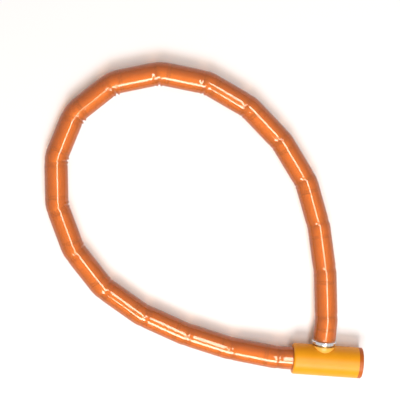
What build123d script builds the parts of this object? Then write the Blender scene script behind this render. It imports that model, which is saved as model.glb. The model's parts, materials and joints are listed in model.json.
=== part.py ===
from build123d import *

import math
import os

import numpy as np

# An armoured cable lock, closed and unlocked, lying on a flat surface.
#
# A wire rope runs through a chain of steel barrels. The ball at the nose of each
# barrel sits in the cup of the next one, and a plastic sleeve covers them all. One
# end of the chain is pinned in the lock. The other carries a grooved bolt, which
# enters the lock from the side and is held there by a latch that the key plug moves.
#
# Millimetres, +Z up. The lock's own axes have the lock's centre line along X, its
# cable end at x = 0 and the bolt entering along -Y. The whole model is then moved so
# that its origin is the bottom centre of its bounding box.

# ---------------------------------------------------------------- driving dimensions

SLEEVE_RADIUS = 11.0  # outside of the plastic sleeve
SLEEVE_WALL = 2.3
SLEEVE_GAP = 3.5  # from a ball centre to the nearest end of a straight stretch
SLEEVE_SEAM = 0.05  # between a straight stretch and a bending one

PITCH = 45.0  # from one ball centre to the next
BARREL_RADIUS = 8.45
BALL_RADIUS = 7.1
CUP_WALL = 1.29  # steel left round the cup at its mouth
NECK_RADIUS = 5.5
SHOULDER_SETBACK = 9.0  # from a ball centre back to the shoulder of its own barrel
CUP_LENGTH = 6.3  # from the ball centre to the groove behind the cup
GROOVE_LENGTH = 3.4
GROOVE_DEPTH = 1.7
GROOVE_FLOOR = 1.2
CUP_START_ANGLE = 40.0  # where the cup begins, from the barrel's axis
CUP_END_ANGLE = 88.0  # where the cup's mouth is, from the barrel's axis
CUP_RELIEF = 1.0  # cone between the cup and the hole for the rope
BALL_FRONT_ANGLE = 56.0  # where the ball is cut off in front, from the barrel's axis
ROPE_HOLE_RADIUS = 4.2
RUNNING_CLEARANCE = 0.06  # ball in cup, plug in shell

ROPE_RADIUS = 3.0
ROPE_BEND_RADIUS = 20.0
ROPE_END_DEPTH = 5.0  # how far the rope reaches into the lock
CRIMP_SETBACK = 8.0  # from a ball centre to where an end fitting grips the rope

# How far each joint bends, clockwise, from the fixed end to the free end. The loop is
# a pear: nearly straight beside the lock, tight at its shoulder.
BENDS = [6, 8, 6.5, 11, 16.5, 17.5, 19, 23, 29, 26.5, 23, 18.5, 16, 12.5, 15, 8, 7, 6.5]
FIRST_JOINT_REACH = 17.5  # from the lock's end face to the first ball centre
LAST_JOINT_REACH = 25.0  # from the lock's side to the last ball centre

LOCK_RADIUS = 14.75
LOCK_LENGTH = 67.0
COVER_WALL = 1.6
COVER_END_WALL = 2.2
COVER_EDGE_ROUND = 2.0
CAP_LENGTH = 4.0
CAP_EDGE_CHAMFER = 0.6
CAP_LIP_THICKNESS = 2.8  # of the lip that keeps the plug's head in
CAP_LIP_CLEARANCE = 0.4  # round the plug's nose
CAP_LIP_CHAMFER = 0.8
FIT = 0.15  # between parts that are assembled once

BOLT_POSITION = 29.0  # from the lock's end face to the bolt's axis
BOLT_RADIUS = 6.0
BOLT_CLEARANCE = 0.3
BOLT_DEPTH = 7.5  # how far the bolt passes the lock's centre line
BOLT_NOSE_CHAMFER = 1.4
BOLT_NECK_RADIUS = 3.2
BOLT_NECK_LENGTH = 4.4
FLANGE_RADIUS = 10.3
FLANGE_LENGTH = 1.6
BOLT_SPIGOT_RADIUS = 5.0
BOLT_SPIGOT_LENGTH = 8.5
BOLT_PIN_OFFSET = 2.6  # from the collar's back face to the cross pin

COLLAR_RADIUS = 12.0
COLLAR_LENGTH = 3.2
COLLAR_GAP = 2.0  # between the collar and the lock's side
COLLAR_BORE_RADIUS = 8.0
COLLAR_ROUND = 0.6

MOUTH_RADIUS = 11.0  # round hole in the cover
MOUTH_RECESS = 0.4  # how far the mouth bush lies below the cover
MOUTH_BUSH_DEPTH = 5.5
WIPER_THICKNESS = 1.6
WIPER_WALL = 1.8

PLUG_RADIUS = 5.5
PLUG_HEAD_RADIUS = 6.8
PLUG_HEAD_LENGTH = 1.4
PLUG_NOSE_SETBACK = 0.6  # of the plug's face behind the end of the lock
PLUG_NOSE_CHAMFER = 0.3
KEYWAY_WIDTH = 1.8
KEYWAY_BOTTOM = 2.4  # from the plug's axis to the side of the key's back
KEYWAY_TOP = 4.2  # from the plug's axis to the side of the key's cuts
KEYWAY_WARD = 0.7
WARD_START = 0.4
WARD_END = 1.6
KEY_STOP = 1.5  # metal behind the keyway
CLIP_THICKNESS = 0.8
CLIP_WIDTH = 1.8
CLIP_SEAT_DEPTH = 1.0
CLIP_OPENING = 6.3
SHELL_LENGTH = 14.0

PIN_PITCH = 3.1
PIN_RADIUS = 1.25
PIN_CLEARANCE = 0.08
PIN_TIP = 0.6
KEY_PIN_LENGTHS = [3.6, 2.9, 3.3, 2.5]  # one chamber for each
DRIVER_LENGTH = 2.4
SPRING_RADIUS = 1.1
SPRING_BORE_RADIUS = 0.75
SPRING_COVER_THICKNESS = 1.1
SPRING_COVER_WIDTH = 3.4
SPRING_COVER_SETBACK = 0.8  # of its slot from each end of the shell
SHEAR_CLEARANCE = 0.05

LATCH_TRAVEL = 3.0
LATCH_WALL = 1.2  # metal between the bolt's bore and the latch
LATCH_FOOT = 2.5  # of the latch below its slot
LATCH_THICKNESS = 2.2
LATCH_FINGER_WIDTH = 3.6
LATCH_FINGER_HEIGHT = 3.0
LATCH_CLEARANCE = 0.25
LATCH_SLOT_CLEARANCE = 0.2
LATCH_HALF_WIDTH = 5.2
CRANK_PIN_RADIUS = 1.25
CRANK_PIN_FIT = 0.02

ANCHOR_PIN_RADIUS = 1.5
ANCHOR_PIN_PLACE = 8.2  # from the lock's end face
FERRULE_DEPTH = 12.0  # how far the fixed ferrule reaches into the lock
TIP_PIN_RADIUS = 1.25
PIN_END_SETBACK = 0.7  # of each cross pin's ends below the surface round them

SCREW_RADIUS = 1.5
SCREW_HEAD_RADIUS = 2.4
SCREW_HEAD_LENGTH = 2.2
SCREW_OFFSET = 9.4  # from the lock's centre line
SCREW_ANGLE = 60.0  # below the lock's sides, so that the screws pass under the bolt
SCREW_LENGTH = 19.0

# ---------------------------------------------------------------- sizes worked out

SLEEVE_BORE = SLEEVE_RADIUS - SLEEVE_WALL
CHAIN_HEIGHT = SLEEVE_RADIUS
LOCK_HEIGHT = LOCK_RADIUS
COVER_LENGTH = LOCK_LENGTH - CAP_LENGTH
COVER_BORE = LOCK_RADIUS - COVER_WALL
BODY_RADIUS = COVER_BORE - FIT
CUP_RADIUS = BALL_RADIUS + RUNNING_CLEARANCE
BOLT_BORE = BOLT_RADIUS + BOLT_CLEARANCE
MOUTH_BUSH_RADIUS = MOUTH_RADIUS - FIT
MOUTH_SADDLE_RADIUS = LOCK_RADIUS - MOUTH_RECESS
MOUTH_FLOOR = MOUTH_SADDLE_RADIUS - MOUTH_BUSH_DEPTH
COLLAR_START = LOCK_RADIUS + COLLAR_GAP
COLLAR_END = COLLAR_START + COLLAR_LENGTH
FLANGE_START = COLLAR_START - FLANGE_LENGTH
TIP_JOINT_Y = LOCK_RADIUS + LAST_JOINT_REACH

# Along the lock, from the bolt's bore to the key end.
LATCH_START = BOLT_POSITION + BOLT_BORE + LATCH_WALL
LATCH_END = LATCH_START + LATCH_THICKNESS
TAIL_START = LATCH_END + LATCH_CLEARANCE
SHELL_END = COVER_LENGTH - 2 * FIT - PLUG_HEAD_LENGTH
SHELL_START = SHELL_END - SHELL_LENGTH
CLIP_START = SHELL_START - FIT - CLIP_THICKNESS
BODY_START = COVER_END_WALL + FIT
BODY_END = SHELL_START - FIT
PLUG_BORE = PLUG_RADIUS + RUNNING_CLEARANCE
PIN_COUNT = len(KEY_PIN_LENGTHS)
SPRING_TOP = BODY_RADIUS - 2 * SPRING_COVER_THICKNESS

# The crank pin swings through a right angle, half above and half below the middle.
CRANK_RADIUS = LATCH_TRAVEL / math.sqrt(2)
CRANK_REST_HEIGHT = LATCH_TRAVEL / 2
FINGER_BOTTOM = BOLT_NECK_RADIUS + LATCH_CLEARANCE + LATCH_TRAVEL
FINGER_TOP = FINGER_BOTTOM + LATCH_FINGER_HEIGHT
LATCH_BOTTOM = CRANK_REST_HEIGHT - CRANK_PIN_RADIUS - LATCH_SLOT_CLEARANCE - LATCH_FOOT
FINGER_END = BOLT_POSITION - BOLT_NECK_RADIUS


# ---------------------------------------------------------------- the chain's layout


def step_in_plan(index):
    """Length of one link seen from above. The first and the last link slope, because
    the lock's centre line is higher than the chain's."""
    if index in (0, len(BENDS) - 2):
        return math.sqrt(PITCH**2 - (LOCK_HEIGHT - CHAIN_HEIGHT) ** 2)
    return PITCH


def walk_chain(bends):
    """Ball centres of the chain, one for each bend, and the heading after the last."""
    last = len(bends) - 1
    x, y, heading = -FIRST_JOINT_REACH, 0.0, math.pi
    centres = []
    for index, bend in enumerate(bends):
        high = index in (0, last)
        centres.append(Vector(x, y, LOCK_HEIGHT if high else CHAIN_HEIGHT))
        heading -= math.radians(bend)
        if index < last:
            x += step_in_plan(index) * math.cos(heading)
            y += step_in_plan(index) * math.sin(heading)
    return centres, heading


def close_loop(bends):
    """The bends with the least change that bring the free end into the lock's side."""
    bends = np.array(bends, dtype=float)
    for _ in range(20):
        centres, heading = walk_chain(bends)
        end = centres[-1]
        miss = [
            BOLT_POSITION - end.X,
            TIP_JOINT_Y - end.Y,
            -math.pi / 2 - heading,
        ]
        effect = [
            [end.Y - centre.Y for centre in centres],
            [centre.X - end.X for centre in centres],
            [-1.0] * len(centres),
        ]
        change = np.linalg.lstsq(np.array(effect), np.array(miss), rcond=None)[0]
        bends += np.degrees(change)
    return list(bends)


REST_BENDS = close_loop(BENDS)
CENTRES, _ = walk_chain(REST_BENDS)
FIXED_DIRECTION = Vector(-1, 0, 0)
TIP_DIRECTION = Vector(0, -1, 0)
ROPE_START = Vector(ROPE_END_DEPTH, 0, LOCK_HEIGHT)
ROPE_END = Vector(BOLT_POSITION, COLLAR_END + BOLT_SPIGOT_LENGTH, LOCK_HEIGHT)


def along(start, direction):
    """Places a shape made along X so that it starts at a point and runs that way."""
    upright = abs(direction.Z) > abs(direction.X) + abs(direction.Y)
    across = Vector(*((1, 0, 0) if upright else (0, 0, 1))).cross(direction).normalized()
    return Plane(origin=start, x_dir=direction, z_dir=direction.cross(across)).location


def from_side(x, height=LOCK_HEIGHT):
    """Places a shape made along X so that it stands out of the lock's side along +Y."""
    return along(Vector(x, 0, height), Vector(0, 1, 0))


def turned(*outline):
    """A solid turned about the X axis from a closed outline of edges."""
    return revolve(make_face(Wire(list(outline))), Axis.X)


def path_edges(points):
    return [Line(a, b).edge() for a, b in zip(points, points[1:])]


def ring(start, end, outer, inner):
    """A plain tube along X."""
    outline = [(start, inner), (end, inner), (end, outer), (start, outer), (start, inner)]
    return turned(*path_edges(outline))


def rod(start, end, radius):
    """A plain round bar along X."""
    outline = [(start, 0), (end, 0), (end, radius), (start, radius), (start, 0)]
    return turned(*path_edges(outline))


def block(low, high):
    """A box between two corners."""
    size = [high[i] - low[i] for i in range(3)]
    centre = [(high[i] + low[i]) / 2 for i in range(3)]
    return Pos(*centre) * Box(*size)


# ---------------------------------------------------------------- barrels


def ball_point(radius, angle, centre=0.0):
    """Point of a ball's outline, at an angle from the forward axis."""
    return (
        centre + radius * math.cos(math.radians(angle)),
        radius * math.sin(math.radians(angle)),
    )


def nose_outline(ball_centre):
    """Outline of a ball nose from its neck over the ball and back into the rope hole."""
    neck_angle = 180 - math.degrees(math.asin(NECK_RADIUS / BALL_RADIUS))
    neck = ball_point(BALL_RADIUS, neck_angle, ball_centre)
    top = ball_point(BALL_RADIUS, 90, ball_centre)
    front = ball_point(BALL_RADIUS, BALL_FRONT_ANGLE, ball_centre)
    throat = (ball_centre, ROPE_HOLE_RADIUS)
    shoulder = ball_centre - SHOULDER_SETBACK
    return [
        Line((shoulder, BARREL_RADIUS), (shoulder, NECK_RADIUS)).edge(),
        Line((shoulder, NECK_RADIUS), neck).edge(),
        ThreePointArc(neck, top, front).edge(),
        Line(front, throat).edge(),
    ]


def cup_outline():
    """Outline of a cup about a ball centred at zero, from its inner end to the groove
    behind it and on to the full radius of the barrel."""
    inner = ball_point(CUP_RADIUS, CUP_START_ANGLE)
    middle = ball_point(CUP_RADIUS, (CUP_START_ANGLE + CUP_END_ANGLE) / 2)
    mouth = ball_point(CUP_RADIUS, CUP_END_ANGLE)
    groove_middle = CUP_LENGTH + GROOVE_LENGTH / 2
    floor = BARREL_RADIUS - GROOVE_DEPTH
    points = [
        mouth,
        (mouth[0], CUP_RADIUS + CUP_WALL),
        (CUP_LENGTH, BARREL_RADIUS),
        (groove_middle - GROOVE_FLOOR / 2, floor),
        (groove_middle + GROOVE_FLOOR / 2, floor),
        (CUP_LENGTH + GROOVE_LENGTH, BARREL_RADIUS),
    ]
    return [ThreePointArc(inner, middle, mouth).edge(), *path_edges(points)], inner


def make_barrel():
    """One steel barrel along X: the cup's ball centre at zero, its own ball at the
    pitch, and the hole for the rope right through."""
    cup, cup_inner = cup_outline()
    shoulder = PITCH - SHOULDER_SETBACK
    return turned(
        *cup,
        Line((CUP_LENGTH + GROOVE_LENGTH, BARREL_RADIUS), (shoulder, BARREL_RADIUS)).edge(),
        *nose_outline(PITCH),
        Line((PITCH, ROPE_HOLE_RADIUS), (cup_inner[0] + CUP_RELIEF, ROPE_HOLE_RADIUS)).edge(),
        Line((cup_inner[0] + CUP_RELIEF, ROPE_HOLE_RADIUS), cup_inner).edge(),
    )


def make_sleeve(length):
    """A stretch of the plastic sleeve along X, starting at zero."""
    return ring(0, length, SLEEVE_RADIUS, SLEEVE_BORE)


def place_links():
    """The barrels and their stretches of sleeve, where they lie at rest."""
    nodes = {}
    for index, (start, end) in enumerate(zip(CENTRES, CENTRES[1:])):
        direction = (end - start).normalized()
        name = f"{index + 1:02d}"
        nodes[f"barrel_{name}"] = along(start, direction) * make_barrel()
        sleeve_start = start + direction * SLEEVE_GAP
        sleeve = make_sleeve(PITCH - 2 * SLEEVE_GAP)
        nodes[f"sleeve_{name}"] = along(sleeve_start, direction) * sleeve
    return nodes


def make_sleeve_bends():
    """The short lengths of sleeve that cross the joints and bend with them, each a tube
    with a mitred corner at the joint."""
    points = [ROPE_START, *CENTRES, ROPE_END]
    reach = SLEEVE_GAP - SLEEVE_SEAM
    solids = []
    for before, corner, after in zip(points, points[1:], points[2:]):
        arriving = (corner - before).normalized()
        leaving = (after - corner).normalized()
        start = corner - arriving * reach
        path = Wire(path_edges([start, corner, corner + leaving * reach]))
        wall = Circle(SLEEVE_RADIUS) - Circle(SLEEVE_BORE)
        face = Plane(origin=start, z_dir=arriving) * wall
        solids.append(sweep(face, path=path, transition=Transition.RIGHT).solid())
    return Compound(children=solids)


# ---------------------------------------------------------------- the two cable ends


def fixed_end():
    """The fixed end's ferrule, its cross pin and the sleeve's first stretch."""
    reach = FIRST_JOINT_REACH + FERRULE_DEPTH
    stop = FERRULE_DEPTH - ROPE_END_DEPTH
    crimp = reach - CRIMP_SETBACK
    rope_fit = ROPE_RADIUS + RUNNING_CLEARANCE
    outline = [
        Line((0, 0), (0, BARREL_RADIUS)).edge(),
        Line((0, BARREL_RADIUS), (reach - SHOULDER_SETBACK, BARREL_RADIUS)).edge(),
        *nose_outline(reach),
        *path_edges(
            [
                (reach, ROPE_HOLE_RADIUS),
                (crimp, ROPE_HOLE_RADIUS),
                (crimp, rope_fit),
                (stop, rope_fit),
                (stop, 0),
                (0, 0),
            ]
        ),
    ]
    ferrule = along(Vector(FERRULE_DEPTH, 0, LOCK_HEIGHT), FIXED_DIRECTION) * turned(*outline)
    cross = Pos(ANCHOR_PIN_PLACE, 0, LOCK_HEIGHT)
    ferrule -= cross * Cylinder(ANCHOR_PIN_RADIUS + FIT / 3, 3 * BARREL_RADIUS)
    sleeve_start = Vector(COVER_END_WALL - FIT, 0, LOCK_HEIGHT)
    sleeve_length = FIRST_JOINT_REACH - SLEEVE_GAP + COVER_END_WALL - FIT
    return {
        "fixed_ferrule": ferrule,
        "anchor_pin": cross * Cylinder(ANCHOR_PIN_RADIUS, 2 * (BODY_RADIUS - PIN_END_SETBACK)),
        "sleeve_00": along(sleeve_start, FIXED_DIRECTION) * make_sleeve(sleeve_length),
    }


def free_end():
    """The free end: its ferrule with the last cup, the bright collar, the bolt and the
    cross pin that holds the bolt in the ferrule."""
    reach = TIP_JOINT_Y - COLLAR_END
    cup, cup_inner = cup_outline()
    socket = BOLT_SPIGOT_RADIUS + FIT / 3
    socket_start = reach - BOLT_SPIGOT_LENGTH + COLLAR_LENGTH
    seat = reach + COLLAR_LENGTH
    points = [
        (CUP_LENGTH + GROOVE_LENGTH, BARREL_RADIUS),
        (reach, BARREL_RADIUS),
        (reach, COLLAR_BORE_RADIUS),
        (seat - FIT, COLLAR_BORE_RADIUS),
        (seat - FIT, socket),
        (socket_start, socket),
        (socket_start, ROPE_RADIUS + RUNNING_CLEARANCE),
        (CRIMP_SETBACK, ROPE_RADIUS + RUNNING_CLEARANCE),
        (CRIMP_SETBACK, ROPE_HOLE_RADIUS),
        (cup_inner[0] + CUP_RELIEF, ROPE_HOLE_RADIUS),
        cup_inner,
    ]
    cross = Pos(BOLT_POSITION, COLLAR_END + BOLT_PIN_OFFSET, LOCK_HEIGHT)
    cross_hole = cross * Cylinder(TIP_PIN_RADIUS + FIT / 3, 3 * BARREL_RADIUS)
    ferrule = along(CENTRES[-1], TIP_DIRECTION) * turned(*cup, *path_edges(points))
    collar = ring(COLLAR_START, COLLAR_END - FIT / 3, COLLAR_RADIUS, COLLAR_BORE_RADIUS + FIT / 3)
    rims = collar.edges().filter_by(GeomType.CIRCLE).group_by(SortBy.RADIUS)[-1]
    collar = fillet(rims, COLLAR_ROUND)
    neck = BOLT_NECK_LENGTH / 2
    bolt_points = [
        (-BOLT_DEPTH, 0),
        (-BOLT_DEPTH, BOLT_RADIUS - BOLT_NOSE_CHAMFER),
        (-BOLT_DEPTH + BOLT_NOSE_CHAMFER, BOLT_RADIUS),
        (-neck, BOLT_RADIUS),
        (-neck, BOLT_NECK_RADIUS),
        (neck, BOLT_NECK_RADIUS),
        (neck, BOLT_RADIUS),
        (FLANGE_START, BOLT_RADIUS),
        (FLANGE_START, FLANGE_RADIUS),
        (COLLAR_START - FIT / 3, FLANGE_RADIUS),
        (COLLAR_START - FIT / 3, BOLT_SPIGOT_RADIUS),
        (COLLAR_START + BOLT_SPIGOT_LENGTH - FIT, BOLT_SPIGOT_RADIUS),
        (COLLAR_START + BOLT_SPIGOT_LENGTH - FIT, 0),
        (-BOLT_DEPTH, 0),
    ]
    bolt = from_side(BOLT_POSITION) * turned(*path_edges(bolt_points))
    sleeve_length = reach - SLEEVE_GAP - FIT / 3
    sleeve_start = CENTRES[-1] + TIP_DIRECTION * SLEEVE_GAP
    return {
        "tip_ferrule": ferrule - cross_hole,
        "tip_collar": from_side(BOLT_POSITION) * collar,
        "lock_bolt": bolt - cross_hole,
        "tip_pin": cross * Cylinder(TIP_PIN_RADIUS, 2 * (BARREL_RADIUS - PIN_END_SETBACK)),
        f"sleeve_{len(CENTRES):02d}": along(sleeve_start, TIP_DIRECTION) * make_sleeve(sleeve_length),
    }


def make_rope():
    """The wire rope in one piece: straight through each barrel, an arc at each ball."""
    points = [ROPE_START, *CENTRES, ROPE_END]
    edges = []
    here = points[0]
    for before, corner, after in zip(points, points[1:], points[2:]):
        arriving = (corner - before).normalized()
        leaving = (after - corner).normalized()
        half_turn = math.radians(arriving.get_angle(leaving)) / 2
        tangent = ROPE_BEND_RADIUS * math.tan(half_turn)
        inward = (leaving - arriving).normalized()
        middle = corner + inward * ROPE_BEND_RADIUS * (1 / math.cos(half_turn) - 1)
        arc_start = corner - arriving * tangent
        arc_end = corner + leaving * tangent
        edges.append(Edge.make_line(here, arc_start))
        edges.append(Edge.make_three_point_arc(arc_start, middle, arc_end))
        here = arc_end
    edges.append(Edge.make_line(here, points[-1]))
    start = Plane(origin=points[0], z_dir=points[1] - points[0])
    return sweep(start * Circle(ROPE_RADIUS), path=Wire(edges))


# ---------------------------------------------------------------- the lock's casing


def make_cover():
    """The jacket: a round cup with a hole for the cable in its end and a round mouth
    for the bolt in its side."""
    cover = ring(0, COVER_LENGTH, LOCK_RADIUS, SLEEVE_RADIUS + FIT)
    cover -= rod(COVER_END_WALL, LOCK_LENGTH, COVER_BORE)
    rims = cover.edges().filter_by(GeomType.CIRCLE).group_by(SortBy.RADIUS)[-1]
    cover = fillet(rims.sort_by(Axis.X)[0], COVER_EDGE_ROUND)
    mouth = rod(0, 2 * LOCK_RADIUS, MOUTH_RADIUS)
    return Pos(0, 0, LOCK_HEIGHT) * cover - from_side(BOLT_POSITION) * mouth


def make_cap():
    """The ring at the key end, with the hole that the plug shows in."""
    inside = COVER_LENGTH
    outside = LOCK_LENGTH
    lip = outside - CAP_LIP_THICKNESS
    lip_bore = PLUG_RADIUS + CAP_LIP_CLEARANCE
    head_bore = PLUG_HEAD_RADIUS + 2 * FIT
    points = [
        (inside, head_bore),
        (inside, LOCK_RADIUS),
        (outside - CAP_EDGE_CHAMFER, LOCK_RADIUS),
        (outside, LOCK_RADIUS - CAP_EDGE_CHAMFER),
        (outside, lip_bore + CAP_LIP_CHAMFER),
        (outside - CAP_LIP_CHAMFER, lip_bore),
        (lip, lip_bore),
        (lip, head_bore),
        (inside, head_bore),
    ]
    spigot = ring(SHELL_END + FIT, inside, BODY_RADIUS, head_bore)
    return Pos(0, 0, LOCK_HEIGHT) * (turned(*path_edges(points)) + spigot)


def screw_places():
    """Where the two screws that hold the cylinder in the body lie, about the lock's
    centre line."""
    turn = math.radians(SCREW_ANGLE)
    height = -SCREW_OFFSET * math.sin(turn)
    return [Pos(0, side * SCREW_OFFSET * math.cos(turn), height) for side in (-1, 1)]


def make_lock_body():
    """The cast block inside the cover: ferrule pocket, bolt bore, latch pocket and the
    seat for the plug's tail."""
    body = rod(BODY_START, BODY_END, BODY_RADIUS)
    body -= rod(0, FERRULE_DEPTH + FIT, BARREL_RADIUS + FIT)
    body -= rod(TAIL_START - FIT, LOCK_LENGTH, PLUG_RADIUS + CLIP_WIDTH + FIT)
    for place in screw_places():
        body -= place * rod(SHELL_END - SCREW_LENGTH - FIT, LOCK_LENGTH, SCREW_RADIUS + FIT / 3)
    body = Pos(0, 0, LOCK_HEIGHT) * body
    anchor_hole = Cylinder(ANCHOR_PIN_RADIUS + FIT / 3, 2 * LOCK_RADIUS)
    body -= Pos(ANCHOR_PIN_PLACE, 0, LOCK_HEIGHT) * anchor_hole
    side = from_side(BOLT_POSITION)
    body -= side * rod(-BOLT_DEPTH - 2 * FIT, LOCK_RADIUS, BOLT_BORE)
    body -= side * rod(MOUTH_FLOOR, LOCK_RADIUS, MOUTH_RADIUS)
    room = LATCH_CLEARANCE
    plate_pocket = block(
        (LATCH_START - room, -LATCH_HALF_WIDTH - room, LOCK_HEIGHT + LATCH_BOTTOM - LATCH_TRAVEL - room),
        (TAIL_START, LATCH_HALF_WIDTH + room, 2 * LOCK_HEIGHT),
    )
    finger_slot = block(
        (FINGER_END - room, -LATCH_FINGER_WIDTH / 2 - room, LOCK_HEIGHT),
        (LATCH_START, LATCH_FINGER_WIDTH / 2 + room, 2 * LOCK_HEIGHT),
    )
    return body - plate_pocket - finger_slot


def make_mouth_bush():
    """The saddle-faced ring in the cover's mouth that guides the bolt."""
    bush = ring(MOUTH_FLOOR + FIT, LOCK_RADIUS, MOUTH_BUSH_RADIUS, BOLT_BORE)
    bush -= rod(0, MOUTH_FLOOR + FIT + WIPER_THICKNESS + FIT, BOLT_BORE + WIPER_WALL)
    saddle = Pos(LOCK_LENGTH / 2, 0, 0) * Rot(0, 90, 0) * Cylinder(MOUTH_SADDLE_RADIUS, LOCK_LENGTH)
    return from_side(BOLT_POSITION) * bush & Pos(0, 0, LOCK_HEIGHT) * saddle


def make_wiper():
    """The rubber ring behind the mouth bush."""
    start = MOUTH_FLOOR + FIT
    wiper = ring(start, start + WIPER_THICKNESS, BOLT_BORE + WIPER_WALL - FIT, BOLT_RADIUS + FIT)
    return from_side(BOLT_POSITION) * wiper


# ---------------------------------------------------------------- the latch and the cylinder


def pin_places():
    """Where the pins stand along the lock."""
    middle = (SHELL_START + SHELL_END) / 2
    return [middle + (i - (PIN_COUNT - 1) / 2) * PIN_PITCH for i in range(PIN_COUNT)]


def make_latch():
    """The slide: an upright plate with a cross slot for the crank pin, and a finger
    that drops into the bolt's neck."""
    plate = block(
        (LATCH_START, -LATCH_HALF_WIDTH, LATCH_BOTTOM),
        (LATCH_END, LATCH_HALF_WIDTH, FINGER_TOP),
    )
    finger = block(
        (FINGER_END, -LATCH_FINGER_WIDTH / 2, FINGER_BOTTOM),
        (LATCH_START, LATCH_FINGER_WIDTH / 2, FINGER_TOP),
    )
    half_slot = CRANK_PIN_RADIUS + LATCH_SLOT_CLEARANCE
    middle = (LATCH_START + LATCH_END) / 2
    slot = Pos(middle, CRANK_RADIUS, CRANK_REST_HEIGHT) * Rot(0, 90, 0)
    slot_outline = SlotOverall(4 * half_slot, 2 * half_slot)
    slot = slot * Rot(0, 0, 90) * extrude(slot_outline, LATCH_THICKNESS, both=True)
    return Pos(0, 0, LOCK_HEIGHT) * (plate + finger - slot)


def make_plug():
    """The key plug: head and nose at the key end, the keyway, the clip's groove, and
    the hole for the crank pin in its tail. At rest its pins point along -Y."""
    head_end = SHELL_END + FIT + PLUG_HEAD_LENGTH
    clip_end = CLIP_START + CLIP_THICKNESS
    face = LOCK_LENGTH - PLUG_NOSE_SETBACK
    points = [
        (TAIL_START + FIT, 0),
        (TAIL_START + FIT, PLUG_RADIUS),
        (CLIP_START - FIT / 3, PLUG_RADIUS),
        (CLIP_START - FIT / 3, PLUG_RADIUS - CLIP_SEAT_DEPTH),
        (clip_end + FIT / 3, PLUG_RADIUS - CLIP_SEAT_DEPTH),
        (clip_end + FIT / 3, PLUG_RADIUS),
        (SHELL_END + FIT, PLUG_RADIUS),
        (SHELL_END + FIT, PLUG_HEAD_RADIUS),
        (head_end, PLUG_HEAD_RADIUS),
        (head_end, PLUG_RADIUS),
        (face - PLUG_NOSE_CHAMFER, PLUG_RADIUS),
        (face, PLUG_RADIUS - PLUG_NOSE_CHAMFER),
        (face, 0),
        (TAIL_START + FIT, 0),
    ]
    plug = turned(*path_edges(points))
    half = KEYWAY_WIDTH / 2
    keyway_start = SHELL_START + KEY_STOP
    plug -= block((keyway_start, -KEYWAY_BOTTOM, -half), (LOCK_LENGTH, KEYWAY_TOP, half))
    plug -= block((keyway_start, WARD_START, -half - KEYWAY_WARD), (LOCK_LENGTH, WARD_END, half))
    for place in pin_places():
        chamber = rod(0, 2 * PLUG_RADIUS, PIN_RADIUS + PIN_CLEARANCE)
        plug -= along(Vector(place, 0, 0), Vector(0, -1, 0)) * chamber
    side = CRANK_RADIUS / math.sqrt(2)
    crank_hole = rod(TAIL_START, SHELL_START + FIT, CRANK_PIN_RADIUS + CRANK_PIN_FIT)
    plug -= Pos(0, side, side) * crank_hole
    return Pos(0, 0, LOCK_HEIGHT) * plug


def make_crank_pin():
    """The off-centre pin pressed into the plug's tail."""
    side = CRANK_RADIUS / math.sqrt(2)
    return Pos(0, side, LOCK_HEIGHT + side) * rod(LATCH_START + FIT, SHELL_START, CRANK_PIN_RADIUS)


def make_clip():
    """The retaining ring in the plug's groove, open on one side."""
    inner = PLUG_RADIUS - CLIP_SEAT_DEPTH + FIT / 3
    clip_end = CLIP_START + CLIP_THICKNESS
    clip = ring(CLIP_START, clip_end, PLUG_RADIUS + CLIP_WIDTH - FIT, inner)
    gap = block((CLIP_START, -CLIP_OPENING / 2, -LOCK_RADIUS), (clip_end, CLIP_OPENING / 2, 0))
    return Pos(0, 0, LOCK_HEIGHT) * (clip - gap)


def make_shell():
    """The cylinder shell: plug bore, pin chambers above it, the spring cover's slot and
    the two screw holes with their head seats."""
    shell = ring(SHELL_START, SHELL_END, BODY_RADIUS, PLUG_BORE)
    for place in pin_places():
        chamber = Pos(place, 0, BODY_RADIUS / 2) * Cylinder(PIN_RADIUS + PIN_CLEARANCE, BODY_RADIUS)
        shell -= chamber
    shell -= block(
        (SHELL_START + SPRING_COVER_SETBACK, -SPRING_COVER_WIDTH / 2 - FIT / 3, SPRING_TOP),
        (SHELL_END - SPRING_COVER_SETBACK, SPRING_COVER_WIDTH / 2 + FIT / 3, LOCK_RADIUS),
    )
    shank = rod(BODY_START, LOCK_LENGTH, SCREW_RADIUS + FIT / 3)
    seat = rod(SHELL_END - SCREW_HEAD_LENGTH - FIT, LOCK_LENGTH, SCREW_HEAD_RADIUS + FIT / 3)
    for place in screw_places():
        shell -= place * (shank + seat)
    return Pos(0, 0, LOCK_HEIGHT) * shell


def pin_group(bottom, top, radius, bore=0.0):
    """One upright pin, or tube, at each pin place."""
    pin = ring(bottom, top, radius, bore) if bore else rod(bottom, top, radius)
    upright = [along(Vector(place, 0, LOCK_HEIGHT), Vector(0, 0, 1)) for place in pin_places()]
    return Compound(children=[place * pin for place in upright])


def make_key_pins():
    """The key pins, which lie in the plug with their flat ends at the shear line."""
    solids = []
    for place, length in zip(pin_places(), KEY_PIN_LENGTHS):
        points = [
            (0, 0),
            (0, PIN_RADIUS),
            (length - PIN_TIP, PIN_RADIUS),
            (length, PIN_RADIUS - PIN_TIP),
            (length, 0),
            (0, 0),
        ]
        pin = turned(*path_edges(points))
        start = Vector(place, FIT - PLUG_RADIUS, LOCK_HEIGHT)
        solids.append(along(start, Vector(0, 1, 0)) * pin)
    return Compound(children=solids)


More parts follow.
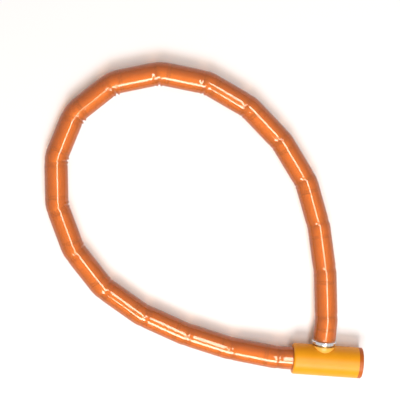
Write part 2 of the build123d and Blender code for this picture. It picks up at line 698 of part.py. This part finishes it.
def cylinder_parts():
    """Everything that the key plug works in."""
    shear_line = PLUG_BORE + SHEAR_CLEARANCE
    driver_top = shear_line + DRIVER_LENGTH
    setback = SPRING_COVER_SETBACK + FIT
    cover = block(
        (SHELL_START + setback, -SPRING_COVER_WIDTH / 2, SPRING_TOP + SHEAR_CLEARANCE),
        (SHELL_END - setback, SPRING_COVER_WIDTH / 2, SPRING_TOP + SPRING_COVER_THICKNESS),
    )
    screw = rod(SHELL_END - SCREW_LENGTH, SHELL_END - FIT, SCREW_RADIUS)
    screw += rod(SHELL_END - SCREW_HEAD_LENGTH, SHELL_END - FIT, SCREW_HEAD_RADIUS)
    screws = [Pos(0, 0, LOCK_HEIGHT) * place * screw for place in screw_places()]
    return {
        "cylinder_shell": make_shell(),
        "plug": make_plug(),
        "crank_pin": make_crank_pin(),
        "plug_clip": make_clip(),
        "key_pins": make_key_pins(),
        "driver_pins": pin_group(shear_line, driver_top, PIN_RADIUS),
        "pin_springs": pin_group(
            driver_top + SHEAR_CLEARANCE, SPRING_TOP, SPRING_RADIUS, SPRING_BORE_RADIUS
        ),
        "spring_cover": Pos(0, 0, LOCK_HEIGHT) * cover,
        "body_screws": Compound(children=screws),
    }


# ---------------------------------------------------------------- the whole lock


def build_nodes():
    """Every node by name, in the lock's own axes."""
    return {
        "housing_cover": make_cover(),
        "end_cap": make_cap(),
        "lock_body": make_lock_body(),
        "mouth_bush": make_mouth_bush(),
        "bore_wiper": make_wiper(),
        "latch": make_latch(),
        **cylinder_parts(),
        **fixed_end(),
        **place_links(),
        **free_end(),
        "sleeve_bends": make_sleeve_bends(),
        "core_rope": make_rope(),
    }


def origin_shift(nodes):
    """The move that brings the origin to the bottom centre of the bounding box."""
    boxes = [shape.bounding_box() for shape in nodes.values()]
    low_x = min(box.min.X for box in boxes)
    high_x = max(box.max.X for box in boxes)
    low_y = min(box.min.Y for box in boxes)
    high_y = max(box.max.Y for box in boxes)
    return Vector(-(low_x + high_x) / 2, -(low_y + high_y) / 2, 0)


NODES = build_nodes()
SHIFT = origin_shift(NODES)

os.makedirs("parts", exist_ok=True)
for name, shape in NODES.items():
    export_step(Pos(SHIFT) * shape, f"parts/{name}.step")
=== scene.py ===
import json
import math

import bmesh
import bpy
from mathutils import Matrix, Vector


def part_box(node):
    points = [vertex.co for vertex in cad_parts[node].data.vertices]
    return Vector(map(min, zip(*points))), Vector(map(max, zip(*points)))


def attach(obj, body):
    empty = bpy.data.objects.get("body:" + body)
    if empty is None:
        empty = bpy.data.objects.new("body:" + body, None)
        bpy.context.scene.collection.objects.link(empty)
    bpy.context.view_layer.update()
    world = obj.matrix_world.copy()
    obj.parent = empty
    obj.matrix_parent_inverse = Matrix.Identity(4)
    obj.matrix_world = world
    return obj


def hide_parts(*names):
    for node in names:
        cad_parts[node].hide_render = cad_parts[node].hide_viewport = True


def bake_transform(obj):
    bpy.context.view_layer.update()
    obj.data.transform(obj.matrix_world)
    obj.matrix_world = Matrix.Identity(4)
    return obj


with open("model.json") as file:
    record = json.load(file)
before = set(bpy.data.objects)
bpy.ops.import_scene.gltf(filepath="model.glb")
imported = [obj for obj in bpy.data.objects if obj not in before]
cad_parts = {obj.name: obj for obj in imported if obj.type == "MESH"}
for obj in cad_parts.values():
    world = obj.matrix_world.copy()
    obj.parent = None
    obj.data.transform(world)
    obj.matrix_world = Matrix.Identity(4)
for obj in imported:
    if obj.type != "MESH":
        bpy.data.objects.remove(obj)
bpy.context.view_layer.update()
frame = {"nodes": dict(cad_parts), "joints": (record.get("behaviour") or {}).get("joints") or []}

# ------------------------------------------------------------------- steel barrels
# The armour: seventeen turned steel barrels, each with a ball on its nose and a cup at
# its tail, and the two end ferrules with one or the other. They are turned from bar,
# then zinc plated and left bright, and the ball of each sits in the cup of the next.

NOISE_LOW, NOISE_HIGH = 0.3, 0.7  # where nearly all of a noise's values lie


def rgba(colour):
    """The linear colour of an sRGB hex value."""
    parts = [int(colour[i : i + 2], 16) / 255 for i in (1, 3, 5)]
    return (*[p / 12.92 if p <= 0.04045 else ((p + 0.055) / 1.055) ** 2.4 for p in parts], 1.0)


def add(tree, kind, values=None, **settings):
    """Adds a node with its settings. A value is put on its input, a socket linked to it."""
    node = tree.nodes.new(kind)
    for name, value in settings.items():
        setattr(node, name, value)
    for name, value in (values or {}).items():
        if isinstance(value, bpy.types.NodeSocket):
            tree.links.new(value, node.inputs[name])
        else:
            node.inputs[name].default_value = value
    return node


def new_material(name):
    """An empty node material and its tree."""
    material = bpy.data.materials.new(name)
    material.use_nodes = True
    material.node_tree.nodes.clear()
    return material, material.node_tree


def grained(name, grains, colours, roughness, relief=None, values=None):
    """A material with one or two grains, (size, detail) pairs. The first sets the
    roughness, between two values, and the relief, a depth and its strength. The last
    sets the colour, between two (noise value, hex colour) stops."""
    material, tree = new_material(name)
    place = add(tree, "ShaderNodeTexCoord").outputs["Object"]
    fields = []
    for size, detail in grains:
        field = {"Vector": place, "Scale": 1 / size, "Detail": detail}
        fields.append(add(tree, "ShaderNodeTexNoise", field).outputs["Fac"])
    colour = add(tree, "ShaderNodeValToRGB", {"Fac": fields[-1]})
    for element, (position, stop_colour) in zip(colour.color_ramp.elements, colours):
        element.position = position
        element.color = rgba(stop_colour)
    low, high = roughness
    rough = add(
        tree,
        "ShaderNodeMapRange",
        {
            "Value": fields[0],
            "From Min": NOISE_LOW,
            "From Max": NOISE_HIGH,
            "To Min": low,
            "To Max": high,
        },
    )
    values = {
        "Base Color": colour.outputs["Color"],
        "Roughness": rough.outputs["Result"],
        **(values or {}),
    }
    if relief:
        depth, strength = relief
        bump = {"Height": fields[0], "Distance": depth, "Strength": strength}
        values["Normal"] = add(tree, "ShaderNodeBump", bump).outputs["Normal"]
    shader = add(tree, "ShaderNodeBsdfPrincipled", values)
    add(tree, "ShaderNodeOutputMaterial", {"Surface": shader.outputs["BSDF"]})
    return material


def coat(material, *names):
    """Gives CAD nodes their material."""
    for name in names:
        for place in frame["nodes"][name].material_slots:
            place.material = material


# Bright zinc plate over a turned surface: soft reflections with faint clouds, 1.6 mm
# across.
zinc_plate = grained(
    "zinc_plated_turned_steel",
    grains=[(0.0016, 4.0)],
    colours=[(0.35, "#B4B0AB"), (0.6, "#C8C5C1")],
    roughness=(0.5, 0.62),
    relief=(0.00002, 1.0),
    values={"Metallic": 1.0},
)
barrels = [name for name in frame["nodes"] if name.startswith("barrel")]
coat(zinc_plate, *barrels, "fixed_ferrule", "tip_ferrule")

# ------------------------------------------------------------------- wire rope
# The core: a wire rope of six strands that runs through every barrel and is crimped in
# the two end ferrules. It is laid from drawn galvanised wire, and is greasy and dull.

ROPE_RADIUS = 0.003
ROPE_STRANDS = 6
ROPE_STRAND_DEPTH = 0.0004
ROPE_LAY = 0.022  # along the rope for one turn of a strand
ROPE_POINTS = 36
ROPE_STEP = 0.0016
ROPE_CORNER_RADIUS = 0.018
ROPE_FIXED_DEPTH = 0.0025  # how far the rope runs past the sleeve in the fixed ferrule
ROPE_TIP_DEPTH = 0.0085  # and at the free end, in the bolt's ferrule behind the collar
ROPE_BEND_REACH = 0.006

# The chain's route: its ball centres, the link on both sides of each, and where the
# sleeve begins and ends. The chain is a closed linkage, so one ball has no joint: it
# lies one pitch from both of its neighbours, on the outside of the loop.
folds = {int(j["name"][-2:]): j for j in frame["joints"] if j["name"].startswith("fold")}
LINK_COUNT = max(folds)
centres = {number: Vector(joint["pos_m"]) for number, joint in folds.items()}
(open_ball,) = set(range(1, LINK_COUNT + 1)) - set(folds)
half_gap = (centres[open_ball + 1] - centres[open_ball - 1]) / 2
pitch = (centres[open_ball - 1] - centres[open_ball - 2]).length
rise = math.sqrt(pitch**2 - half_gap.length_squared)
outward = Vector((-half_gap.y, half_gap.x, 0)).normalized()
centres[open_ball] = centres[open_ball - 1] + half_gap + outward * rise

bodies = ["housing", *[f"link_{number:02d}" for number in range(1, LINK_COUNT)], "tip"]
sleeve_start = Vector((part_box("sleeve_00")[1].x, centres[1].y, centres[1].z))
last_sleeve = f"sleeve_{LINK_COUNT:02d}"
sleeve_end = Vector((centres[LINK_COUNT].x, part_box(last_sleeve)[0].y, centres[LINK_COUNT].z))


class Span:
    """The stretch of cable that crosses one joint, from halfway along one barrel to
    halfway along the next, with its corner rounded."""

    def __init__(self, number, first, last, corner_radius):
        self.centre = centres[number]
        self.bodies = bodies[number - 1], bodies[number]
        self.jointed = number in folds
        self.start = (centres.get(number - 1, 2 * first - self.centre) + self.centre) / 2
        self.end = (centres.get(number + 1, 2 * last - self.centre) + self.centre) / 2
        self.arriving = (self.centre - self.start).normalized()
        self.leaving = (self.end - self.centre).normalized()
        self.bend = self.arriving.angle(self.leaving)
        self.inward = (self.leaving - self.arriving).normalized()
        self.corner_radius = corner_radius
        self.tangent = corner_radius * math.tan(self.bend / 2)

    def stations(self, fine_reach, fine_step, coarse_step):
        """Distances from the joint, close together near it and wide apart elsewhere."""
        before, after = (self.centre - self.start).length, (self.end - self.centre).length
        fine_count = round(2 * fine_reach / fine_step)
        fine = [fine_reach * (2 * i / fine_count - 1) for i in range(fine_count + 1)]
        sides = []
        for side in (before, after):
            count = max(1, round((side - fine_reach) / coarse_step))
            step = (side - fine_reach) / count
            sides.append([fine_reach + step * (i + 1) for i in range(count)])
        return [-place for place in reversed(sides[0])] + fine + sides[1]

    def place(self, distance):
        """A matrix at a distance from the joint: X along the cable, Y to the outside of
        the bend and Z up."""
        if abs(distance) >= self.tangent:
            along = self.arriving if distance < 0 else self.leaving
            point = self.centre + along * distance
        else:
            turn = distance / self.tangent * self.bend / 2
            mean = (self.arriving + self.leaving).normalized()
            reach = self.corner_radius / math.cos(self.bend / 2)
            pivot = self.centre + self.inward * reach
            along = mean * math.cos(turn) + self.inward * math.sin(turn)
            spoke = mean * math.sin(turn) - self.inward * math.cos(turn)
            point = pivot + spoke * self.corner_radius
        outward = (self.inward.cross(along).cross(along)).normalized()
        matrix = Matrix((along, outward, along.cross(outward))).transposed().to_4x4()
        matrix.translation = point
        return matrix

    def bend_with(self, piece, reach):
        """Bakes the piece's place into its mesh where it crosses a joint; there it is given to
        no body. At the open ball both bodies hardly move against each other, so there it rides
        on the first. The reach is not used."""
        if not self.jointed:
            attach(piece, self.bodies[0])
            return
        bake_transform(piece)


def draw_tube(mesh, places, points, radius):
    """Extrudes a circle from place to place and returns its rings of vertices."""
    ring = bmesh.ops.create_circle(mesh, segments=points, radius=radius)["verts"]
    upright = places[0] @ Matrix.Rotation(math.pi / 2, 4, "Y")
    bmesh.ops.transform(mesh, matrix=upright, verts=ring)
    rings = [ring]
    for before, after in zip(places, places[1:]):
        edges = dict.fromkeys(edge for v in rings[-1] for edge in v.link_edges)
        edges = [edge for edge in edges if all(v in rings[-1] for v in edge.verts)]
        made = bmesh.ops.extrude_edge_only(mesh, edges=edges)["geom"]
        ring = [item for item in made if isinstance(item, bmesh.types.BMVert)]
        bmesh.ops.transform(mesh, matrix=after @ before.inverted(), verts=ring)
        rings.append(ring)
    return rings


def end_edges(ring):
    """The edges of a ring at the open end of a tube."""
    edges = dict.fromkeys(edge for v in ring for edge in v.link_edges)
    return [edge for edge in edges if edge.is_boundary]


def set_order(parts, place):
    """Lists vertices or faces by their place, so that each run gives the same order."""
    for index, part in enumerate(sorted(parts, key=place)):
        part.index = index
    parts.sort()


def new_piece(name, mesh, material):
    """Turns a finished bmesh into a smooth object with its material."""
    set_order(mesh.verts, lambda vertex: vertex.co[:])
    set_order(mesh.faces, lambda face: face.calc_center_median()[:])
    data = bpy.data.meshes.new(name)
    mesh.to_mesh(data)
    mesh.free()
    data.shade_smooth()
    data.materials.append(material)
    piece = bpy.data.objects.new(name, data)
    bpy.context.scene.collection.objects.link(piece)
    return piece


# Drawn galvanised wire, dull with grease: uneven grey with half-soft reflections, in
# smears about 4 mm long.
drawn_wire = grained(
    "galvanised_drawn_wire",
    grains=[(0.004, 3.0)],
    colours=[(0.3, "#5A5753"), (0.65, "#98958F")],
    roughness=(0.35, 0.6),
    values={"Metallic": 1.0},
)

rope_start = sleeve_start + Vector((ROPE_FIXED_DEPTH, 0, 0))
rope_end = sleeve_end - Vector((0, ROPE_TIP_DEPTH, 0))
core_radius = ROPE_RADIUS - ROPE_STRAND_DEPTH
for number in range(1, LINK_COUNT + 1):
    span = Span(number, rope_start, rope_end, ROPE_CORNER_RADIUS)
    distances = span.stations(ROPE_BEND_REACH, ROPE_STEP, ROPE_STEP)
    places = [span.place(distance) for distance in distances]
    mesh = bmesh.new()
    rings = draw_tube(mesh, places, ROPE_POINTS, core_radius)
    for distance, place, ring in zip(distances, places, rings):
        back = place.inverted()
        for vertex in ring:
            local = back @ vertex.co
            turn = math.atan2(local.z, local.y) + 2 * math.pi * distance / ROPE_LAY
            bulge = abs(math.sin(turn * ROPE_STRANDS / 2)) * ROPE_STRAND_DEPTH
            local.yz *= 1 + bulge / core_radius
            vertex.co = place @ local
    for ring in (rings[0], rings[-1]):
        bmesh.ops.contextual_create(mesh, geom=end_edges(ring))
    bmesh.ops.recalc_face_normals(mesh, faces=mesh.faces)
    piece = new_piece(f"rope_span_{number:02d}", mesh, drawn_wire)
    span.bend_with(piece, ROPE_BEND_REACH)
    if number == 1:
        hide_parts("core_rope")

# ------------------------------------------------------------------- sleeve
# The sleeve: one glossy tube of clear orange PVC over all the barrels, extruded and then
# drawn on. It spans the gaps between barrels a little slack, so it dips there, and on
# the inside of a sharp bend it folds.

SLEEVE_RADIUS = 0.011
SLEEVE_WALL = 0.0022
SLEEVE_POINTS = 64
SLEEVE_FINE_REACH = 0.012
SLEEVE_FINE_STEP = 0.0006
SLEEVE_COARSE_STEP = 0.0026
SLEEVE_BEND_REACH = 0.0075
BORE_CORNER_RADIUS = 0.012  # the bore hugs the barrels
SKIN_CORNER_RADIUS = 0.033  # the outer skin is evened out by the tube's stiffness
NECK_PLACE = -0.0045  # middle of the gap between two barrels, from the joint
NECK_HALF_WIDTH = 0.0038
NECK_DIP = 0.0003
FOLD_PLACE = -0.001  # middle of the folds, from the joint
FOLD_REACH = 0.0075
FOLD_PITCH = 0.0062
FOLD_HEIGHT = 0.0014  # at the inside of a bend of FOLD_FULL_BEND
FOLD_FULL_BEND = math.radians(28)
FOLD_FADE = 1.5  # how fast they fade towards a bend's outside, and with a lesser bend

PVC_COLOUR = "#F09232"
PVC_LIT_THROUGH = "#F1E4DA"
PVC_WAVE_SIZE = 0.009  # of the unevenness that the extruder leaves
PVC_WAVE_DEPTH = 0.0002
PVC_WAVE_STRENGTH = 0.2


def clear_plastic(name, roughness):
    """Clear tinted PVC. Lamps shine through it, tinted too, to light the steel inside."""
    material, tree = new_material(name)
    place = add(tree, "ShaderNodeTexCoord").outputs["Object"]
    waves = {"Vector": place, "Scale": 1 / PVC_WAVE_SIZE, "Detail": 1.0}
    height = add(tree, "ShaderNodeTexNoise", waves).outputs["Fac"]
    bump = {"Height": height, "Distance": PVC_WAVE_DEPTH, "Strength": PVC_WAVE_STRENGTH}
    plastic = add(
        tree,
        "ShaderNodeBsdfPrincipled",
        {
            "Base Color": rgba(PVC_COLOUR),
            "Roughness": roughness,
            "IOR": 1.53,
            "Transmission Weight": 0.75,
            "Normal": add(tree, "ShaderNodeBump", bump).outputs["Normal"],
        },
    )
    lit_through = add(tree, "ShaderNodeBsdfTransparent", {"Color": rgba(PVC_LIT_THROUGH)})
    shadow_ray = add(tree, "ShaderNodeLightPath").outputs["Is Shadow Ray"]
    surface = add(
        tree,
        "ShaderNodeMixShader",
        {0: shadow_ray, 1: plastic.outputs["BSDF"], 2: lit_through.outputs["BSDF"]},
    )
    add(tree, "ShaderNodeOutputMaterial", {"Surface": surface.outputs["Shader"]})
    return material


# Clear orange PVC, extruded smooth: the steel shows through it, tinted, and its skin
# gives one hard bright line, slightly wavy where the tube isn't true.
clear_pvc = clear_plastic("clear_tinted_pvc_extruded", roughness=0.05)

# Its bore, drawn over the barrels and rubbed dull: it blurs the steel behind it.
rubbed_pvc = clear_plastic("clear_tinted_pvc_rubbed_bore", roughness=0.2)


def hump(distance, place, half_width):
    """A smooth bump, 1 at its place and 0 at its half width and beyond."""
    share = min(1.0, abs(distance - place) / half_width)
    return (1 + math.cos(math.pi * share)) / 2


def sleeve_change(distance, angle, bend):
    """How far the sleeve leaves its true radius. The angle is 0 at the outside of the
    bend and a half turn at its inside."""
    neck = -NECK_DIP * hump(distance, NECK_PLACE, NECK_HALF_WIDTH)
    inside = max(0.0, -math.cos(angle)) ** FOLD_FADE
    share = min(1.0, bend / FOLD_FULL_BEND) ** FOLD_FADE
    fold = -math.cos(2 * math.pi * (distance - FOLD_PLACE) / FOLD_PITCH)
    return neck + FOLD_HEIGHT * share * inside * fold * hump(distance, FOLD_PLACE, FOLD_REACH)


for number in range(1, LINK_COUNT + 1):
    skin = Span(number, sleeve_start, sleeve_end, SKIN_CORNER_RADIUS)
    bore = Span(number, sleeve_start, sleeve_end, BORE_CORNER_RADIUS)
    distances = skin.stations(SLEEVE_FINE_REACH, SLEEVE_FINE_STEP, SLEEVE_COARSE_STEP)
    mesh = bmesh.new()
    ends = []
    for span, radius in ((skin, SLEEVE_RADIUS), (bore, SLEEVE_RADIUS - SLEEVE_WALL)):
        places = [span.place(distance) for distance in distances]
        rings = draw_tube(mesh, places, SLEEVE_POINTS, radius)
        if span is bore:
            for face in (face for ring in rings for v in ring for face in v.link_faces):
                face.material_index = 1
        for distance, place, ring in zip(distances, places, rings):
            back = place.inverted()
            for vertex in ring:
                local = back @ vertex.co
                angle = math.atan2(local.z, local.y)
                local.yz *= 1 + sleeve_change(distance, angle, span.bend) / radius
                vertex.co = place @ local
        ends.append((rings[0], rings[-1]))
    # The wall is closed at both ends while the normals are found. Then it is opened again
    # where spans meet, because the sleeve is one tube.
    walls = []
    for outer_ring, inner_ring in zip(*ends):
        edges = end_edges(outer_ring) + end_edges(inner_ring)
        walls.append(bmesh.ops.bridge_loops(mesh, edges=edges)["faces"])
    bmesh.ops.recalc_face_normals(mesh, faces=mesh.faces)
    cuts = (walls[0] if number > 1 else []) + (walls[1] if number < LINK_COUNT else [])
    bmesh.ops.delete(mesh, geom=cuts, context="FACES_ONLY")
    piece = new_piece(f"sleeve_span_{number:02d}", mesh, clear_pvc)
    piece.data.materials.append(rubbed_pvc)
    span.bend_with(piece, SLEEVE_BEND_REACH)
    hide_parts(f"sleeve_{number:02d}")
    if number == 1:
        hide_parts("sleeve_00", "sleeve_bends")

# ------------------------------------------------------------------- bolt and collar
# The free end: a hardened steel bolt with a groove for the latch, and a bright collar
# that closes the gap between the sleeve and the lock. The collar is turned brass,
# polished and chromed; the bolt is ground and passivated, and a cross pin holds it.

# Decorative chrome: a hard mirror with faint hairlines from handling, drawn 1.2 mm wide
# because real ones are too fine to show.
chrome = grained(
    "polished_chrome_plate",
    grains=[(0.0012, 5.0)],
    colours=[(0.4, "#DDDEE0"), (0.6, "#F0F1F2")],
    roughness=(0.12, 0.2),
    values={"Metallic": 1.0},
)
coat(chrome, "tip_collar")

# Ground hardened steel: even grey with half-soft reflections. The wheel's scratches are
# really 0.1 mm wide and are drawn 0.8 mm wide so that they show.
ground_steel = grained(
    "ground_hardened_steel",
    grains=[(0.0008, 5.0)],
    colours=[(0.35, "#9C9B9A"), (0.65, "#C4C3C1")],
    roughness=(0.22, 0.38),
    relief=(0.00001, 1.0),
    values={"Metallic": 1.0},
)
steel_parts = ["tip_pin", "anchor_pin", "latch", "crank_pin", "plug_clip"]
coat(ground_steel, *steel_parts, "body_screws", "spring_cover")

# The bolt is zinc plated and yellow passivated over its ground surface: brownish gold,
# polished, with slightly cloudy colour in patches of 2 mm.
passivated = grained(
    "yellow_passivated_steel",
    grains=[(0.002, 3.0)],
    colours=[(0.3, "#A98252"), (0.7, "#BF9C68")],
    roughness=(0.16, 0.28),
    values={"Metallic": 1.0},
)
coat(passivated, "lock_bolt")

# ------------------------------------------------------------------- housing
# The housing: a jacket moulded in satin yellow-orange ABS that slides over the cast
# body, with a saddle-faced guide ring in its mouth and a darker ring at the key end,
# both pressed in. The place for a name on its side is left bare.

ABS_GRAIN = (0.0005, 3.0)  # spark-eroded: really 0.1 mm, drawn coarser so that it shows


def satin_abs(name, mottle_size, colours):
    """Moulded ABS: even colour under a fine eroded grain, with a wide soft sheen."""
    return grained(
        name,
        grains=[ABS_GRAIN, (mottle_size, 2.0)],
        colours=colours,
        roughness=(0.36, 0.46),
        relief=(0.00004, 0.5),
        values={"IOR": 1.54, "Specular IOR Level": 0.3},
    )


# Satin yellow-orange ABS, moulded: its colour drifts a little over 12 mm.
yellow_abs = satin_abs("satin_moulded_abs", 0.012, [(0.3, "#F8A208"), (0.7, "#FCA812")])
coat(yellow_abs, "housing_cover")

# Satin burnt-orange ABS, moulded: the same sheen on a darker ring, which drifts over
# 10 mm.
orange_abs = satin_abs("satin_moulded_abs_brown", 0.010, [(0.3, "#C25E10"), (0.7, "#CC6816")])
coat(orange_abs, "end_cap")

# Acetal, dyed yellow and moulded, for the guide ring: slightly waxy, with a fine grain drawn 0.8
# mm wide so that it shows.
# Its colour is painted paler than the jacket, a painted highlight for the light that the ring
# catches in the mouth.
acetal_painted_paler = grained(
    "yellow_acetal_painted_paler",
    grains=[(0.0008, 3.0)],
    colours=[(0.3, "#F8B444"), (0.7, "#FCBA50")],
    roughness=(0.3, 0.4),
    values={"IOR": 1.48},
)
coat(acetal_painted_paler, "mouth_bush")

# The guide ring's lip is moulded with it. It stands up round the bolt's flange and nearly
# fills the mouth, so a thin edge shows there, painted pale as a highlight.
LIP_RADIUS = 0.01085
LIP_WALL = 0.0004
LIP_DEPTH = 0.0059  # below the ring's outermost point
LIP_RISE = 0.0006  # above it
LIP_ROUND = 0.00015
LIP_STEPS = 96

ring_low, ring_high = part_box("mouth_bush")
ring_axis = (ring_low + ring_high) / 2
lip_inside = LIP_RADIUS - LIP_WALL
lip_foot = ring_high.y - LIP_DEPTH
lip_top = ring_high.y + LIP_RISE
profile = [
    (lip_inside, lip_foot),
    (LIP_RADIUS, lip_foot),
    (LIP_RADIUS, lip_top - 2 * LIP_ROUND),
    (LIP_RADIUS, lip_top - LIP_ROUND),
    (LIP_RADIUS - LIP_ROUND, lip_top),
    (lip_inside + LIP_ROUND, lip_top),
    (lip_inside, lip_top - LIP_ROUND),
]
mesh = bmesh.new()
points = [mesh.verts.new((ring_axis.x + radius, y, ring_axis.z)) for radius, y in profile]
edges = [mesh.edges.new(pair) for pair in zip(points, points[1:] + points[:1])]
bmesh.ops.spin(
    mesh,
    geom=points + edges,
    cent=ring_axis,
    axis=(0, 1, 0),
    angle=2 * math.pi,
    steps=LIP_STEPS,
    use_merge=True,
)
bmesh.ops.recalc_face_normals(mesh, faces=mesh.faces)
lip = new_piece("mouth_lip", mesh, acetal_painted_paler)
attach(lip, "housing")

# Moulded rubber: near black, matt, with a soft sheen and a 0.6 mm grain.
rubber = grained(
    "moulded_nitrile_rubber",
    grains=[(0.0006, 3.0)],
    colours=[(0.3, "#161514"), (0.7, "#242220")],
    roughness=(0.6, 0.8),
)
coat(rubber, "bore_wiper")

# ------------------------------------------------------------------- key cylinder
# The works: a pin tumbler cylinder of turned brass with brass pins, screwed to a body
# that is die cast in zinc. The plug's keyed face shows in the ring at the key end.

# Turned brass: warm yellow metal, slightly dulled, with tool marks, which really are
# 0.1 mm apart and are drawn 0.7 mm apart so that they show.
brass = grained(
    "turned_brass",
    grains=[(0.0007, 4.0)],
    colours=[(0.35, "#B08D48"), (0.65, "#CFAE68")],
    roughness=(0.22, 0.36),
    relief=(0.00001, 1.0),
    values={"Metallic": 1.0},
)
coat(brass, "plug", "cylinder_shell", "key_pins", "driver_pins")
coat(drawn_wire, "pin_springs")

# Die-cast zinc alloy: pale grey and dull, faintly blotched where the melt chilled, 3 mm
# across.
zinc_casting = grained(
    "die_cast_zinc",
    grains=[(0.003, 4.0)],
    colours=[(0.35, "#8E9094"), (0.65, "#A9ABAE")],
    roughness=(0.42, 0.58),
    relief=(0.00003, 1.0),
    values={"Metallic": 1.0},
)
coat(zinc_casting, "lock_body")

# ------------------------------------------------------------------- table, light, camera
# A white table under the lock, one wide soft box beyond the near side, a strip light
# overhead towards the key end, an even white room, and a camera nearly overhead.

TABLE_SIZE = 6.0
TABLE_COLOUR = "#F8F8F8"
TABLE_GLOW = 0.06  # lifts the table to white where it is seen
ROOM_SEEN = 0.72
ROOM_FILL = 0.2
ROOM_FILL_COLOUR = "#FFE4D2"
CAMERA_DISTANCE = 1.1
CAMERA_TURNS = (math.radians(8.2), math.radians(2.8), math.radians(-5.0))
CAMERA_TARGET = Vector((-0.0100, 0.0168, 0.011))
CAMERA_LENS = 105.2
KEY_WIDTH = 1.1
KEY_HEIGHT = 0.76
KEY_DISTANCE = 2.2
KEY_TILT = math.radians(44)  # from the view, towards the near side
KEY_TURN = math.radians(3)  # towards the key end
KEY_POWER = 36.0
STRIP_WIDTH = 0.4
STRIP_LENGTH = 1.4
STRIP_DISTANCE = 2.2
STRIP_SIDE = 0.55  # towards the key end
STRIP_NEAR = 0.4  # towards the near side
STRIP_POWER = 22.0


def seen_share(tree):
    """1 for a ray from the camera, off gloss or through the sleeve, and 0 for light that
    falls on the lock."""
    rays = add(tree, "ShaderNodeLightPath").outputs
    share = rays["Is Camera Ray"]
    for ray in ("Is Glossy Ray", "Is Transmission Ray"):
        pair = {0: share, 1: rays[ray]}
        share = add(tree, "ShaderNodeMath", pair, operation="MAXIMUM").outputs["Value"]
    return share


# White laminate, matt: even, without gloss, so that it only takes the lock's shadow.
white_table, tree = new_material("white_matt_laminate")
glow = {0: seen_share(tree), 1: TABLE_GLOW}
laminate = add(
    tree,
    "ShaderNodeBsdfPrincipled",
    {
        "Base Color": rgba(TABLE_COLOUR),
        "Roughness": 1.0,
        "Specular IOR Level": 0.0,
        "Emission Strength": add(tree, "ShaderNodeMath", glow, operation="MULTIPLY").outputs[0],
    },
)
add(tree, "ShaderNodeOutputMaterial", {"Surface": laminate.outputs["BSDF"]})
mesh = bmesh.new()
bmesh.ops.create_grid(mesh, x_segments=1, y_segments=1, size=TABLE_SIZE / 2)
table = new_piece("table_top", mesh, white_table)

world = bpy.data.worlds.new("white_room")
bpy.context.scene.world = world
world.use_nodes = True
tree = world.node_tree
tree.nodes.clear()
fill_light = {"Color": rgba(ROOM_FILL_COLOUR), "Strength": ROOM_FILL}
seen_walls = {"Color": rgba("#FFFFFF"), "Strength": ROOM_SEEN}
fill = add(tree, "ShaderNodeBackground", fill_light).outputs["Background"]
walls = add(tree, "ShaderNodeBackground", seen_walls).outputs["Background"]
room = add(tree, "ShaderNodeMixShader", {0: seen_share(tree), 1: fill, 2: walls})
add(tree, "ShaderNodeOutputWorld", {"Surface": room.outputs["Shader"]})

# The camera's own axes, put at the point that it looks at.
turn_x, turn_y, turn_z = [Matrix.Rotation(a, 4, axis) for a, axis in zip(CAMERA_TURNS, "XYZ")]
view = Matrix.Translation(CAMERA_TARGET) @ (turn_x @ turn_y @ turn_z).inverted()
camera = bpy.data.objects.new("camera", bpy.data.cameras.new("camera"))
camera.data.lens = CAMERA_LENS
camera.matrix_world = view @ Matrix.Translation((0, 0, CAMERA_DISTANCE))
bpy.context.scene.collection.objects.link(camera)
bpy.context.scene.camera = camera


def soft_box(name, width, height, power, place):
    """A rectangular lamp whose place is given from the camera's target."""
    lamp = bpy.data.objects.new(name, bpy.data.lights.new(name, "AREA"))
    lamp.data.shape = "RECTANGLE"
    lamp.data.size = width
    lamp.data.size_y = height
    lamp.data.energy = power
    lamp.matrix_world = view @ place
    bpy.context.scene.collection.objects.link(lamp)


key_turns = Matrix.Rotation(KEY_TURN, 4, "Y") @ Matrix.Rotation(KEY_TILT, 4, "X")
key_place = key_turns @ Matrix.Translation((0, 0, KEY_DISTANCE))
soft_box("key_soft_box", KEY_WIDTH, KEY_HEIGHT, KEY_POWER, key_place)
strip_place = Matrix.Translation((STRIP_SIDE, -STRIP_NEAR, STRIP_DISTANCE))
soft_box("overhead_strip", STRIP_WIDTH, STRIP_LENGTH, STRIP_POWER, strip_place)

bpy.context.scene.view_settings.view_transform = "Standard"
bpy.context.view_layer.update()
